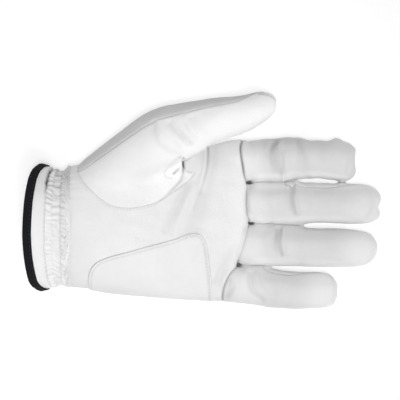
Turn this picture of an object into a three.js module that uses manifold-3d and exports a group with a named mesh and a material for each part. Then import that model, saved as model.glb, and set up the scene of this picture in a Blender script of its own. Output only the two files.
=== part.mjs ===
// A left-hand sport glove of thin white leather, filled as if worn and lying on its back.
// Millimetres. +X runs along the fingers, +Y towards the thumb, +Z out of the palm.
// The origin is the middle of the footprint, at the surface that the glove lies on.
import * as THREE from "three";
import Module from "manifold-3d";

const wasm = await Module();
wasm.setup();
const { Manifold, Mesh: SolidMesh } = wasm;

// Driving dimensions
const leather = 1.2; // wall of the glove
const seamGap = 0.3; // between two pieces that are sewn together
const floorSink = 1.5; // how far the round back would reach below the surface, where it is flattened
const patchThick = 1.0;
const patchFloor = 7; // height at which the heel patch ends on the little finger's side
const wristX = -80; // where the gathered cuff meets the hand
const cuffSideLength = 18; // cuff length at its sides
const cuffPalmReach = 8.5; // how much further it reaches on the palm side
const cuffBackReach = 3;
const cuffReachPower = 1.4; // how fast the cuff's edge curves from its sides to the palm and back
const gatherCount = 15;
const gatherDepth = 0.9;
const bindingWidth = 5.6;
const bindingThick = 1.1;
const fingerTipLift = 7; // how far a fingertip curls up off the surface
const thumbSideFloor = 9; // height at which the thumb's panels are sewn to the back
const thumbFreeX = -14; // where the thumb leaves the hand
const fourchetteHeight = 6; // of the strip at its end, near the fingertip
const smallestHalf = 0.8; // of a tube's section, so that an inner form never turns inside out
const tinyStep = 1e-6; // keeps a share or a join just inside its range
const far = 200; // reach of a cutter past the glove

// A table with named columns: one row for each section
function table(columns, rows) {
  const names = columns.split(" ");
  return rows.map((row) => Object.fromEntries(names.map((name, i) => [name, row[i]])));
}

// The palm and the back of the hand, from the wrist to past the finger bases
const handSections = table("x yLow yHigh top", [
  [-80, -54, 21.5, 37],
  [-66, -56, 24, 36.5],
  [-50, -57.5, 28, 35.5],
  [-30, -59.8, 31, 33.5],
  [-10, -61.3, 33, 31.5],
  [8, -62.8, 35, 29.5],
  [22, -64.6, 37.6, 28.5],
  [34, -66, 40, 27.5],
]);

// Each finger lies on its back: top is the height of its palm side, dipping at the fold of the first joint
const fingerSections = {
  index: table("x y w top", [
    [8, 24, 7.0, 20],
    [25, 24.7, 13.0, 25.6],
    [33, 24.9, 13.2, 24.6],
    [40, 25.2, 13.2, 23.4],
    [50, 25.6, 13.4, 22.2],
    [56, 25.7, 13.2, 20.5],
    [62, 25.6, 13.4, 21.4],
    [70, 25.0, 12.4, 19.6],
    [80, 24.8, 12.5, 19.2],
    [88, 25.3, 13.0, 18.4],
    [92.5, 24.6, 11.6, 16.5],
    [95, 24.0, 9.0, 14],
    [96.3, 24.0, 5.0, 11],
  ]),
  middle: table("x y w top", [
    [12, -2.0, 8.0, 22],
    [27, -2.0, 12.0, 26.4],
    [35, -1.9, 12.1, 25.4],
    [45, -1.7, 12.3, 23.6],
    [58, -1.4, 12.5, 22],
    [63, -1.3, 12.4, 20.5],
    [69, -1.3, 12.6, 21.2],
    [80, -1.3, 12.4, 20],
    [92, -1.4, 12.5, 19],
    [101, -1.8, 12.0, 18],
    [107, -2.4, 10.0, 16],
    [110, -3.0, 7.0, 13.5],
    [111.3, -3.0, 3.5, 11],
  ]),
  ring: table("x y w top", [
    [8, -27.5, 8.0, 22],
    [23, -27.8, 12.1, 26],
    [31, -28.0, 12.2, 24.9],
    [40, -28.3, 12.3, 23],
    [49, -28.7, 12.3, 22],
    [54, -28.8, 12.1, 20.4],
    [60, -29.0, 12.2, 21.2],
    [74, -29.0, 12.2, 19.8],
    [88, -29.0, 12.1, 18.5],
    [98, -29.0, 11.3, 17.5],
    [104.5, -29.0, 9.0, 15.5],
    [107.8, -29.0, 6.0, 13],
    [109, -29.0, 3.0, 11],
  ]),
  little: table("x y w top", [
    [-4, -49.5, 6.5, 20],
    [13, -51.4, 11.5, 24.2],
    [22, -52.6, 11.5, 23.4],
    [32, -53.8, 11.5, 22.2],
    [40, -54.6, 11.3, 20.2],
    [46, -55.0, 11.4, 21],
    [58, -55.6, 11.4, 19.2],
    [74, -55.8, 10.9, 17.5],
    [80, -56.0, 9.4, 16],
    [83.4, -56.0, 6.5, 13.5],
    [84.6, -56.0, 3.5, 11],
  ]),
};

// The thumb grows out of the ball of the hand and stands up from the surface
const thumbSections = table("x y z w h", [
  [-70, 11, 17, 11, 13],
  [-52.7, 19.8, 20.5, 16, 15.5],
  [-37.2, 29.1, 23.5, 17.7, 15.5],
  [-21.7, 37.8, 27.5, 19, 14.5],
  [-6.2, 44.3, 32, 16, 13],
  [7.4, 48.7, 36, 14.8, 12],
  [19.8, 51.1, 38.5, 12.8, 11],
  [31, 55.2, 40.5, 11.3, 10],
  [38.4, 57.4, 41.5, 9.8, 9],
  [43.5, 59, 42, 6.5, 6.5],
  [46.3, 60, 42.2, 2.8, 3],
]);

// Lines on the glove, seen from the palm side
const fingerBaseLine = [
  [25, 50], [26.7, 31], [29.1, 10.5], [30.1, -2], [30.4, -14.3],
  [27.9, -27.9], [22.9, -40.3], [18, -52.1], [13, -75],
];
const thenarSeam = [
  [-75, 26], [-75, 19.8], [-73.2, 14.3], [-68.2, 7.4], [-63.2, 1.9], [-58.3, -1.9], [-52.1, -4],
  [-43.4, -4.7], [-34.1, -3.4], [-26, -1.2], [-17.4, 4.3], [-9.9, 11.2], [-5, 17.4], [-3.7, 21.7], [-6.2, 30],
];
const thumbSideSeam = [
  [-80, 17], [-68.2, 24.8], [-53.9, 32.9], [-45, 40.3], [-34.1, 45.9], [-24.2, 50.8], [-9.3, 54.6],
  [7.4, 57.7], [25.4, 60.9], [36, 65.1], [41, 65.1], [45.3, 62.6], [51, 58.5],
];
const heelPatchEdge = [
  [-69.4, -75], [-69.4, -50.8], [-67, -43.4], [-60.1, -36.6], [-43.4, -31], [-24.8, -26], [-14.9, -22],
  [-6.2, -21.1], [0, -22.9], [3.7, -27.9], [5.6, -38.4], [6.8, -52.7], [7.4, -75],
];

// Rounded hills and hollows of the palm: height is added to the palm side
const palmRelief = table("x y rx ry height", [
  [-8, -8, 30, 20, -3.5],
  [-46, -38, 28, 15, 2.5],
  [14, -20, 10, 40, 1.2],
]);

// A row's value at a share of its table, on a smooth curve through the rows
function smoothRow(rows, share) {
  const at = Math.min(share, 1 - tinyStep) * (rows.length - 1);
  const i = Math.floor(at);
  const f = at - i;
  const row = {};
  for (const key of Object.keys(rows[0])) {
    const [a, b, c, d] = [-1, 0, 1, 2].map((k) => rows[Math.min(rows.length - 1, Math.max(0, i + k))][key]);
    row[key] = b + 0.5 * f * (c - a + f * (2 * a - 5 * b + 4 * c - d + f * (3 * (b - c) + d - a)));
  }
  return row;
}

const rounded = (v, roundness) => Math.sign(v) * Math.abs(v) ** (2 / roundness);

function relief(x, y) {
  return palmRelief.reduce((sum, hill) => {
    const r = ((x - hill.x) / hill.rx) ** 2 + ((y - hill.y) / hill.ry) ** 2;
    return sum + hill.height * Math.exp(-r);
  }, 0);
}

// A closed solid from rings of points, capped at both ends
function solidFromRings(rings, closedOnItself = false) {
  const around = rings[0].length;
  const points = rings.flat();
  const faces = [];
  const last = closedOnItself ? rings.length : rings.length - 1;
  for (let i = 0; i < last; i++) {
    for (let k = 0; k < around; k++) {
      const a = i * around + k;
      const b = i * around + ((k + 1) % around);
      const c = ((i + 1) % rings.length) * around + k;
      const d = ((i + 1) % rings.length) * around + ((k + 1) % around);
      faces.push(a, b, d, a, d, c);
    }
  }
  if (!closedOnItself) {
    for (const end of [0, rings.length - 1]) {
      const middle = points.length;
      points.push([0, 1, 2].map((axis) => rings[end].reduce((sum, p) => sum + p[axis], 0) / around));
      for (let k = 0; k < around; k++) {
        const a = end * around + k;
        const b = end * around + ((k + 1) % around);
        if (end === 0) faces.push(middle, b, a);
        else faces.push(middle, a, b);
      }
    }
  }
  return solidFromFaces(points, faces);
}

function solidFromFaces(points, faces) {
  const vertProperties = new Float32Array(points.flat());
  const make = (list) => {
    const triVerts = new Uint32Array(list);
    return new Manifold(new SolidMesh({ numProp: 3, vertProperties, triVerts }));
  };
  const solid = make(faces);
  if (solid.volume() > 0) return solid;
  const turned = [];
  for (let i = 0; i < faces.length; i += 3) turned.push(faces[i], faces[i + 2], faces[i + 1]);
  return make(turned);
}

// A soft tube through a table of sections. grow moves its surface outwards, or inwards when negative;
// floor is the height at which it lies flat.
function softTube(rows, form) {
  const { around, steps, roundness, grow = 0, floor = 0, square = true, withRelief = false } = form;
  const rings = [];
  const stations = Array.from({ length: steps + 1 }, (_, i) => smoothRow(rows, i / steps));
  const total = stations.length - 1;
  stations.forEach((s, i) => {
    const before = stations[Math.max(0, i - 1)];
    const after = stations[Math.min(total, i + 1)];
    const along = new THREE.Vector2(after.x - before.x, after.y - before.y).normalize();
    const side = square ? new THREE.Vector2(0, 1) : new THREE.Vector2(-along.y, along.x);
    const w = Math.max(smallestHalf, s.w + grow);
    const h = Math.max(smallestHalf, s.h + grow);
    const shift = i === total ? grow : 0; // the closed end moves with the wall
    const ring = [];
    for (let k = 0; k < around; k++) {
      const angle = (2 * Math.PI * k) / around;
      const out = w * rounded(Math.cos(angle), roundness);
      const up = h * rounded(Math.sin(angle), roundness);
      const x = s.x + side.x * out + along.x * shift;
      const y = s.y + side.y * out + along.y * shift;
      const lift = withRelief && up > 0 ? relief(x, y) * Math.min(1, (2 * up) / h) : 0;
      ring.push([x, y, Math.max(floor, s.z + up + lift)]);
    }
    rings.push(ring);
  });
  return solidFromRings(rings);
}

// Sections given by their height above the surface become centred ones; a finger's tip curls up off it
function lying(rows, tipLift = 0) {
  const widest = Math.max(...rows.map(({ w }) => w));
  return rows.map(({ x, y, w, top }) => {
    const under = tipLift * (1 - w / widest) - floorSink;
    return { x, y, w, z: (top + under) / 2, h: (top - under) / 2 };
  });
}
const handRows = lying(
  handSections.map(({ x, yLow, yHigh, top }) => ({ x, y: (yLow + yHigh) / 2, w: (yHigh - yLow) / 2, top })),
);

// An upright cutter from an outline seen from above
function uprightCutter(outline, low, high) {
  const shape = new THREE.Shape(outline.map(([x, y]) => new THREE.Vector2(x, y)));
  const geometry = new THREE.ExtrudeGeometry(shape, { depth: high - low, bevelEnabled: false });
  geometry.translate(0, 0, low);
  return solidFromGeometry(geometry);
}

function solidFromGeometry(geometry) {
  const position = (geometry.index ? geometry.toNonIndexed() : geometry).getAttribute("position");
  const seen = new Map();
  const points = [];
  const faces = [];
  for (let i = 0; i < position.count; i++) {
    const p = [position.getX(i), position.getY(i), position.getZ(i)];
    const key = p.map((v) => v.toFixed(4)).join();
    if (!seen.has(key)) {
      seen.set(key, points.length);
      points.push(p);
    }
    faces.push(seen.get(key));
  }
  return solidFromFaces(points, faces);
}

// A line moved sideways by a distance, to its left when positive
function moved(line, distance) {
  return line.map(([x, y], i) => {
    const a = line[Math.max(0, i - 1)];
    const b = line[Math.min(line.length - 1, i + 1)];
    const length = Math.hypot(b[0] - a[0], b[1] - a[1]);
    return [x - ((b[1] - a[1]) / length) * distance, y + ((b[0] - a[0]) / length) * distance];
  });
}

const pastFingerBase = (distance) =>
  uprightCutter([...moved(fingerBaseLine, distance), [far, -far], [far, far]], -far, far);
const beforeFingerBase = (distance) =>
  uprightCutter([...moved(fingerBaseLine, distance), [-far, -far], [-far, far]], -far, far);

// Outer and inner forms
const handForm = { around: 32, steps: 8, roundness: 2.6, withRelief: true };
const fingerForm = { around: 16, roundness: 2.5 };
const thumbForm = { around: 16, steps: 12, roundness: 2.2, square: false };

const handOuter = softTube(handRows, handForm).intersect(beforeFingerBase(0));
const inward = { grow: -leather, floor: leather };
const openWrist = [{ ...handRows[0], x: wristX - 5 }, ...handRows.slice(1)];
const handInner = softTube(openWrist, { ...handForm, ...inward }).intersect(beforeFingerBase(-leather));
const thumbOuter = softTube(thumbSections, thumbForm);
const thumbInner = softTube(thumbSections, { ...thumbForm, ...inward });

const fingerNames = Object.keys(fingerSections);
const fingers = fingerNames.map((name) => {
  const rows = lying(fingerSections[name], fingerTipLift);
  const form = { ...fingerForm, steps: rows.length - 1 };
  const nearBase = rows[3];
  return {
    name,
    middle: nearBase.y,
    half: nearBase.w,
    outer: softTube(rows, form),
    inner: softTube(rows, { ...form, ...inward }).intersect(pastFingerBase(-2 * leather)),
  };
});

const skinOutside = fingers.reduce((all, finger) => all.add(finger.outer), handOuter.add(thumbOuter));
const skinInside = fingers.reduce((all, finger) => all.add(finger.inner), handInner.add(thumbInner));
const skin = skinOutside.subtract(skinInside);

// A fourchette's strip between two fingers: tall at the crotch and tapered towards the tips
const fourchettes = table("from to crotch end low high tip", [
  [0, 1, 26.5, 84, 4, 17, 5],
  [1, 2, 26.5, 92, 4, 17, 5],
  [2, 3, 17.5, 70, 4, 16, 5],
]);
function fourchetteBand({ from, to, crotch, end, low, high, tip }, grow) {
  const outline = [
    [crotch - grow, low - grow],
    [end + grow, tip - grow],
    [end + grow, tip + fourchetteHeight + grow],
    [crotch - grow, high + grow],
  ];
  const shape = new THREE.Shape(outline.map(([x, z]) => new THREE.Vector2(x, z)));
  const depth = fingers[from].middle - fingers[to].middle;
  const geometry = new THREE.ExtrudeGeometry(shape, { depth, bevelEnabled: false });
  geometry.rotateX(Math.PI / 2);
  geometry.translate(0, fingers[from].middle, 0);
  return solidFromGeometry(geometry);
}
const bands = fourchettes.map((row) => fourchetteBand(row, 0));
const allBands = bands.reduce((all, band) => all.add(band));

// The thumb's panels: the curved thenar outline, and round the free part of the thumb
function thumbRegion(grow) {
  const [wristEnd] = thenarSeam;
  const thenarOutline = [...moved(thenarSeam, -grow), [0, far], [-far, far], [-far, wristEnd[1]]];
  const thenar = uprightCutter(thenarOutline, thumbSideFloor - grow, far);
  const pastHand = uprightCutter([[thumbFreeX, -far], [far, -far], [far, far], [thumbFreeX, far]], -far, far);
  const freePart = softTube(thumbSections, { ...thumbForm, grow: leather + grow }).intersect(pastHand);
  return thenar.add(freePart);
}
const thumbPanels = skin.intersect(thumbRegion(0));
const [thumbSideEnd] = thumbSideSeam.slice(-1);
const outsideSideSeam = (distance) =>
  uprightCutter([...moved(thumbSideSeam, distance), [thumbSideEnd[0], far], [-far, far]], -far, far);

// The lapped patch on the heel of the hand
const patchBetween = (grow) => softTube(handRows, { ...handForm, grow, floor: -far });
const heelPatch = patchBetween(seamGap + patchThick)
  .subtract(patchBetween(seamGap))
  .intersect(uprightCutter(heelPatchEdge, patchFloor, far));

// The cuff: rings of points along its length, outside and then back inside
const cuffSections = table("share y w top gather lift", [
  [0, -16.2, 37.6, 37, 0.2, 0],
  [0.12, -16, 37.2, 36.4, 1, 0],
  [0.26, -16, 36.2, 34.8, 0.45, 0],
  [0.42, -16, 36.2, 34.6, 0.8, 0],
  [0.56, -16, 36.8, 35.2, 1, 0],
  [0.68, -16, 37.6, 36, 0, seamGap + bindingThick],
  [1, -16, 39.4, 37.6, 0, seamGap + bindingThick],
]);
const cuffAround = 60;
const cuffRoundness = 2.4;

const cuffReach = (angle) => {
  const up = Math.sin(angle);
  return cuffSideLength + (up > 0 ? cuffPalmReach : cuffBackReach) * Math.abs(up) ** cuffReachPower;
};

// The cuff's section at a share of its length, straight between the rows
function cuffSection(share) {
  const next = cuffSections.findIndex((row) => row.share >= share - tinyStep);
  const b = cuffSections[next];
  const a = cuffSections[Math.max(0, next - 1)];
  const f = b === a ? 0 : (share - a.share) / (b.share - a.share);
  return Object.fromEntries(Object.keys(b).map((key) => [key, a[key] + (b[key] - a[key]) * f]));
}

// A point on the cuff, a distance inside its outer surface; past moves it beyond the free edge
function cuffPoint(share, angle, inside, past = 0) {
  const s = cuffSection(share);
  const fold = inside > 0 ? -1 : Math.cos(gatherCount * angle); // the inside stays clear of the gathers
  const grow = gatherDepth * s.gather * (fold - 1) - inside;
  const middle = (s.top - floorSink) / 2;
  const half = (s.top + floorSink) / 2;
  const x = wristX - seamGap - s.share * cuffReach(angle) - past;
  const y = s.y + (s.w + grow) * rounded(Math.cos(angle), cuffRoundness);
  const z = middle + (half + grow) * rounded(Math.sin(angle), cuffRoundness);
  return [x, y, Math.max(s.lift + inside, z)];
}

const cuffAngles = Array.from({ length: cuffAround }, (_, k) => (2 * Math.PI * k) / cuffAround);
const gatheredCuff = solidFromRings(
  [
    ...cuffSections.map(({ share }) => cuffAngles.map((angle) => cuffPoint(share, angle, 0))),
    ...[1, 0.68, 0.56, 0.26, 0].map((share) => cuffAngles.map((angle) => cuffPoint(share, angle, leather))),
  ],
  true,
);

// The black tape is folded over the cuff's free edge: a channel section swept round it.
// out is the distance from the cuff's outer surface, back the distance from its edge towards the hand.
function bindingRing(out, back) {
  return cuffAngles.map((angle) => {
    const share = 1 - Math.max(0, back) / cuffReach(angle);
    return cuffPoint(share, angle, -out, Math.max(0, -back));
  });
}
const tapeOut = seamGap + bindingThick;
const tapeIn = -(leather + seamGap + bindingThick);
const tapeBack = bindingWidth - tapeOut;
const cuffBinding = solidFromRings(
  [
    bindingRing(tapeOut, tapeBack),
    bindingRing(tapeOut, -tapeOut),
    bindingRing(tapeIn, -tapeOut),
    bindingRing(tapeIn, tapeBack),
    bindingRing(tapeIn + bindingThick, tapeBack),
    bindingRing(tapeIn + bindingThick, -seamGap),
    bindingRing(seamGap, -seamGap),
    bindingRing(seamGap, tapeBack),
  ],
  true,
);

// Finished pieces
const pieces = new Map();
const handSkin = skin.intersect(beforeFingerBase(0));
pieces.set("hand_shell", handSkin.subtract(thumbRegion(seamGap)).subtract(allBands));
pieces.set("thumb_front", thumbPanels.subtract(outsideSideSeam(0)));
pieces.set("thumb_side", thumbPanels.intersect(outsideSideSeam(seamGap)));
fingers.forEach((finger, i) => {
  const previous = fingers[i - 1];
  const next = fingers[i + 1];
  const above = previous ? (finger.middle + finger.half + previous.middle - previous.half) / 2 : far;
  const below = next ? (finger.middle - finger.half + next.middle + next.half) / 2 : -far;
  const lane = uprightCutter([[-far, below], [far, below], [far, above], [-far, above]], -far, far);
  const stall = skin.intersect(pastFingerBase(seamGap)).intersect(lane);
  pieces.set(`${finger.name}_finger`, stall.subtract(thumbRegion(seamGap)).subtract(allBands));
});
fourchettes.forEach((row, i) => {
  const name = `fourchette_${fingerNames[row.from]}_${fingerNames[row.to]}`;
  pieces.set(name, skin.intersect(fourchetteBand(row, -seamGap)));
});
pieces.set("heel_patch", heelPatch);
pieces.set("gathered_cuff", gatheredCuff);
pieces.set("cuff_binding", cuffBinding);

const whiteLeather = new THREE.MeshStandardMaterial({ color: 0xefefed, roughness: 0.62, metalness: 0 });
const greyTextile = new THREE.MeshStandardMaterial({ color: 0xd9d9d8, roughness: 0.85, metalness: 0 });
const blackTape = new THREE.MeshStandardMaterial({ color: 0x141416, roughness: 0.7, metalness: 0 });
const materialOf = { thumb_side: greyTextile, cuff_binding: blackTape };

// Cutting can leave slivers, so each piece is its largest body
function mainBody(solid) {
  return solid.decompose().sort((a, b) => b.volume() - a.volume())[0];
}

const glove = new THREE.Group();
for (const [name, solid] of pieces) {
  const { vertProperties, triVerts } = mainBody(solid).getMesh();
  const geometry = new THREE.BufferGeometry();
  geometry.setAttribute("position", new THREE.BufferAttribute(new Float32Array(vertProperties), 3));
  geometry.setIndex(new THREE.BufferAttribute(new Uint32Array(triVerts), 1));
  const mesh = new THREE.Mesh(geometry, materialOf[name] ?? whiteLeather);
  mesh.name = name;
  glove.add(mesh);
}

// The origin goes to the middle of the footprint
const footprint = new THREE.Box3().setFromObject(glove).getCenter(new THREE.Vector3());
glove.position.set(-footprint.x, -footprint.y, 0);

export default glove;
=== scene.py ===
import math

import bmesh
import bpy
import numpy as np
from mathutils import Matrix, Vector, noise
from mathutils.bvhtree import BVHTree
from mathutils.kdtree import KDTree


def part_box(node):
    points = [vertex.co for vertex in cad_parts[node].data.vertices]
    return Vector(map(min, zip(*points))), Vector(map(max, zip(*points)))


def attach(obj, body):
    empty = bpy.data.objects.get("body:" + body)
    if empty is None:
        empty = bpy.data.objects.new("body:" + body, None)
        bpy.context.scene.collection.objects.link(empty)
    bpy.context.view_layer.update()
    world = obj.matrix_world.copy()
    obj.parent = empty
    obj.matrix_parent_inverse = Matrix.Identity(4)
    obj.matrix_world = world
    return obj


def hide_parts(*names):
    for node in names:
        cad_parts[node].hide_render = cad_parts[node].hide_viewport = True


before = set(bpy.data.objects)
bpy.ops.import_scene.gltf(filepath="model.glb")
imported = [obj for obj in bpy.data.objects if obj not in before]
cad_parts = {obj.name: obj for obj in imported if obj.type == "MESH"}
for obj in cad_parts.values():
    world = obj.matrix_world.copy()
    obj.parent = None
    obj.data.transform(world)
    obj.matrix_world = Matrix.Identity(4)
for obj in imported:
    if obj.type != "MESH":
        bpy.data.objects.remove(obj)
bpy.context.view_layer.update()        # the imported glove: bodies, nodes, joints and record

# Lengths below are millimetres on the glove: x along the fingers, y towards the thumb, z out of the palm.
# The frame's origin is the middle of the footprint, so everything is moved by shiftX and shiftY.
mm = 0.001
wristX = -80.0           # where the cuff is sewn to the hand
indexSide = 39.0         # the index finger's outer side
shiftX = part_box("hand_shell")[0].x / mm - wristX
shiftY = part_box("index_finger")[1].y / mm - indexSide
shift = np.array([shiftX, shiftY, 0.0])

skinLook = {
    "voxel": 0.95,       # mesh size of the leather
    "smooth": 6,         # passes that take the remesh's steps away
    "thick": 1.0,        # leather
    "seamReach": 2.6,    # how far from a seam the mesh is finer
    "seamDepth": 0.75,   # how deep the leather turns in at a seam
}

# rows: x, lower side, upper side, height of the palm face
fingerRows = {
    "index": [
        [10, 15, 34, 20], [19.8, 10.5, 37.2, 25.4], [28.5, 10.5, 37.6, 25], [34.7, 11.2, 37.4, 24.4],
        [40.9, 11.7, 37.8, 23.6], [45.9, 11.2, 38.1, 22.6], [52.1, 11.4, 39.2, 22.4],
        [58.9, 13, 38.9, 22.2], [63.9, 12.8, 38.4, 21.2], [71.3, 13.3, 37.4, 21],
        [80.6, 13.1, 37.7, 20.4], [86.2, 11.5, 38.2, 19.6], [91.6, 11.6, 37, 18],
        [95.2, 13.2, 34.2, 15.8], [97.2, 16.6, 30.6, 13.4],
    ],
    "middle": [
        [14, -10, 6, 22], [22.3, -14.3, 9.9, 26.4], [30.4, -14.4, 10.5, 26], [38.4, -14.9, 10.7, 25.2],
        [46.5, -15.1, 10.9, 24.2], [54.6, -15.3, 11.1, 22.8], [62, -15.1, 11.2, 22.6],
        [71.3, -14.4, 10.8, 22.2], [80.6, -14.2, 10.5, 21.6], [89.9, -14.6, 10.3, 20.8],
        [99.2, -15.3, 10.3, 19.8], [105.4, -14.7, 9.5, 18.4], [109.8, -12.7, 7.4, 16.4],
        [112.6, -9.6, 3.6, 13.8],
    ],
    "ring": [
        [10, -37, -19, 22], [18.6, -40.4, -15.2, 26], [27.3, -40.4, -15, 25.4],
        [34.7, -40.5, -14.8, 24.6], [42.2, -40.7, -14.9, 23.6], [49.6, -41.1, -15.2, 22.4],
        [55.8, -41.4, -15.9, 22.4], [63.2, -41.5, -17, 22], [73.2, -41.6, -17.5, 21.4],
        [83.7, -41.9, -17.7, 20.6], [93, -42.1, -17.9, 19.8], [100.4, -41.2, -18.8, 18.6],
        [105.6, -39.8, -20.4, 17], [108.5, -36.9, -23, 15], [110.3, -33.2, -26.4, 12.8],
    ],
    "little": [
        [-2, -58, -42, 19], [8.7, -62.2, -39.6, 23.8], [17.4, -63.4, -40.6, 23.4],
        [24.8, -64, -40.8, 22.8], [32.2, -65.3, -41, 21.8], [38.4, -66.3, -41.4, 20.8],
        [43.4, -67, -42.3, 20.6], [49.6, -67.6, -43.9, 20.4], [57, -67.9, -44.5, 19.8],
        [65.1, -67.9, -44.7, 19], [73.2, -67.6, -44.6, 17.8], [79.4, -67.2, -45.6, 16.4],
        [83, -65.8, -47.4, 14.6], [85, -63, -50.8, 12.6], [86, -59.8, -54.6, 10.8],
    ],
}
handRows = [
    [-96, -53.4, 20, 36.6], [-86, -53.6, 20.2, 36.8], [-78, -54, 21.2, 37.1],
    [-73.2, -54.6, 22.6, 37.4], [-64.5, -55.8, 24.4, 37.2], [-52.7, -57.7, 26.6, 36.4],
    [-37.2, -59.2, 29, 34.8], [-21.7, -60.2, 31, 32.8], [-6.2, -61.3, 32.2, 31], [4.3, -62, 33.4, 29.8],
    [13.6, -62.9, 36, 28.8], [22.3, -63.7, 37.6, 27.6], [28.5, -64, 38, 26.4],
]
# rows: x, lower side, upper side, middle height, half height
thumbRows = [
    [-76, 8, 22, 19, 10.5], [-67, 3.5, 29.2, 21, 13.5], [-58.3, 3.5, 35.9, 22.5, 15],
    [-49.6, 6.2, 42.6, 24, 15.8], [-40.9, 9.9, 49.5, 25.5, 15.8], [-32.2, 13.6, 55, 27, 15.4],
    [-23.6, 18, 58, 29, 15], [-14.9, 22.6, 59.2, 31, 14], [-6.2, 25.3, 60.8, 33, 13.4],
    [-0.5, 28.3, 61.7, 34.2, 13.1], [4.5, 32.9, 62.5, 35.4, 12.7], [11.2, 35.5, 63.4, 36.8, 12.2],
    [19.8, 38.4, 63.8, 38.4, 11.4], [27.3, 40.8, 64.6, 39.6, 10.6], [33.5, 44, 66.2, 40.6, 9.8],
    [38.4, 47.2, 66.8, 41.2, 8.8], [42.8, 50.2, 65.9, 41.8, 7.6], [45.4, 52.8, 64.4, 42.2, 6],
    [47.2, 55.4, 61.6, 42.4, 4.2],
]

# Seams, seen from the palm side: x, y
fingerBaseLine = [
    [26.8, 43.4], [27, 38.8], [25.3, 34.9], [25, 31.2], [25.9, 24.1], [27.3, 16.7], [28.7, 10.5],
    [29.1, 4], [28.9, -1.9], [29.4, -8.1], [30.4, -13.6], [29.2, -20.6], [27.4, -26.7], [25.7, -32.9],
    [23.2, -40.6], [18.4, -46.4], [15.8, -51.6], [14.3, -56.4], [13.6, -67], [13, -80],
]
thenarSeam = [
    [-76.9, 27], [-75, 22.9], [-75.2, 18.6], [-74.1, 14.9], [-71.9, 11.2], [-68.2, 7.1], [-63.9, 3.1],
    [-58.9, -0.9], [-52.1, -4], [-43.4, -4.9], [-34.1, -3.6], [-26, -0.9], [-18, 4.2], [-11.3, 8.7],
    [-6.8, 12.2], [-3, 16.8],
]
thenarFlap = [[-3.0, 16.8], [-7.4, 17.2], [-9.6, 19.4], [-10.3, 22.5], [-10.2, 26.5]]
thumbSideSeam = [
    [-78, 16.6], [-70.1, 20.5], [-60.3, 27.2], [-50.4, 34], [-39.5, 41.7], [-32.2, 46.3], [-25, 49.5],
    [-16.8, 51.8], [-6.8, 54.2], [4.1, 57], [11.4, 58.3], [20.5, 60], [27.8, 62.6], [32.3, 64.6],
    [36.8, 65.6], [40.4, 66.2], [43, 68.5], [50, 78],
]
heelPatchEdge = [
    [-68.8, -80], [-68.8, -55], [-69.2, -51.6], [-68.8, -46.4], [-67, -41.9], [-63.5, -38.1],
    [-56.7, -35.2], [-45.4, -32.2], [-34.2, -29.1], [-22.9, -26.1], [-15.4, -23.9], [-9.4, -21.6],
    [-4.9, -20.5], [-1.1, -20.7], [1.9, -22.8], [3.7, -26.1], [4.9, -31.4], [6.4, -42.7], [7.5, -53.9],
    [8.1, -62.2], [8.4, -80],
]
thumbSideFloor = 9.0     # height of the thumb's seam on the back of the hand
thumbFreeX = -15.0       # where the thumb leaves the hand


# Small helpers
def setMode(mode):
    bpy.ops.object.mode_set(mode=mode)


def deselectAll():
    if bpy.context.object and bpy.context.object.mode != "OBJECT":
        setMode("OBJECT")
    bpy.ops.object.select_all(action="DESELECT")


def pick(*objects):
    deselectAll()
    for o in objects:
        o.select_set(True)
    bpy.context.view_layer.objects.active = objects[0]


def smoothLine(points, step=1.5):
    # a curve through given points, with a point every step millimetres
    p = np.array(points, float)
    out = []
    for i in range(len(p) - 1):
        a, b, c, d = p[max(0, i - 1)], p[i], p[i + 1], p[min(len(p) - 1, i + 2)]
        n = max(1, int(np.linalg.norm(c - b) / step))
        for f in np.arange(n) / n:
            out.append(b + 0.5 * f * (c - a + f * (2 * a - 5 * b + 4 * c - d + f * (3 * (b - c) + d - a))))
    out.append(p[-1])
    return np.array(out)


def lineDistance(points, line, closed=False):
    # distance in plan to a line, the side it is on (left is positive) and where along it, 0 to 1
    p = points[:, :2]
    best = np.full(len(p), 1e9)
    side = np.ones(len(p))
    along = np.zeros(len(p))
    ends = np.vstack([line, line[:1]]) if closed else line
    lengths = np.linalg.norm(np.diff(ends, axis=0), axis=1)
    start = np.concatenate([[0], np.cumsum(lengths)])
    for i in range(len(ends) - 1):
        a, d = ends[i], ends[i + 1] - ends[i]
        size = max(lengths[i], 1e-9)
        t = np.clip(((p - a) @ d) / size ** 2, 0, 1)
        away = p - a - t[:, None] * d
        gap = np.hypot(away[:, 0], away[:, 1])
        nearer = gap < best
        best[nearer] = gap[nearer]
        turn = d[0] * away[:, 1] - d[1] * away[:, 0]
        side[nearer] = np.where(turn[nearer] >= 0, 1, -1)
        along[nearer] = (start[i] + t[nearer] * size) / start[-1]
    return best, side, along


def insideOutline(points, outline):
    # signed distance in plan to a closed outline, positive inside it
    gap, _, _ = lineDistance(points, outline, closed=True)
    x, y = points[:, 0], points[:, 1]
    inside = np.zeros(len(points), bool)
    for a, b in zip(outline, np.roll(outline, -1, axis=0)):
        crosses = (a[1] > y) != (b[1] > y)
        with np.errstate(divide="ignore", invalid="ignore"):
            at = (b[0] - a[0]) * (y - a[1]) / (b[1] - a[1]) + a[0]
        inside ^= crosses & (x < at)
    return np.where(inside, gap, -gap)


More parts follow.
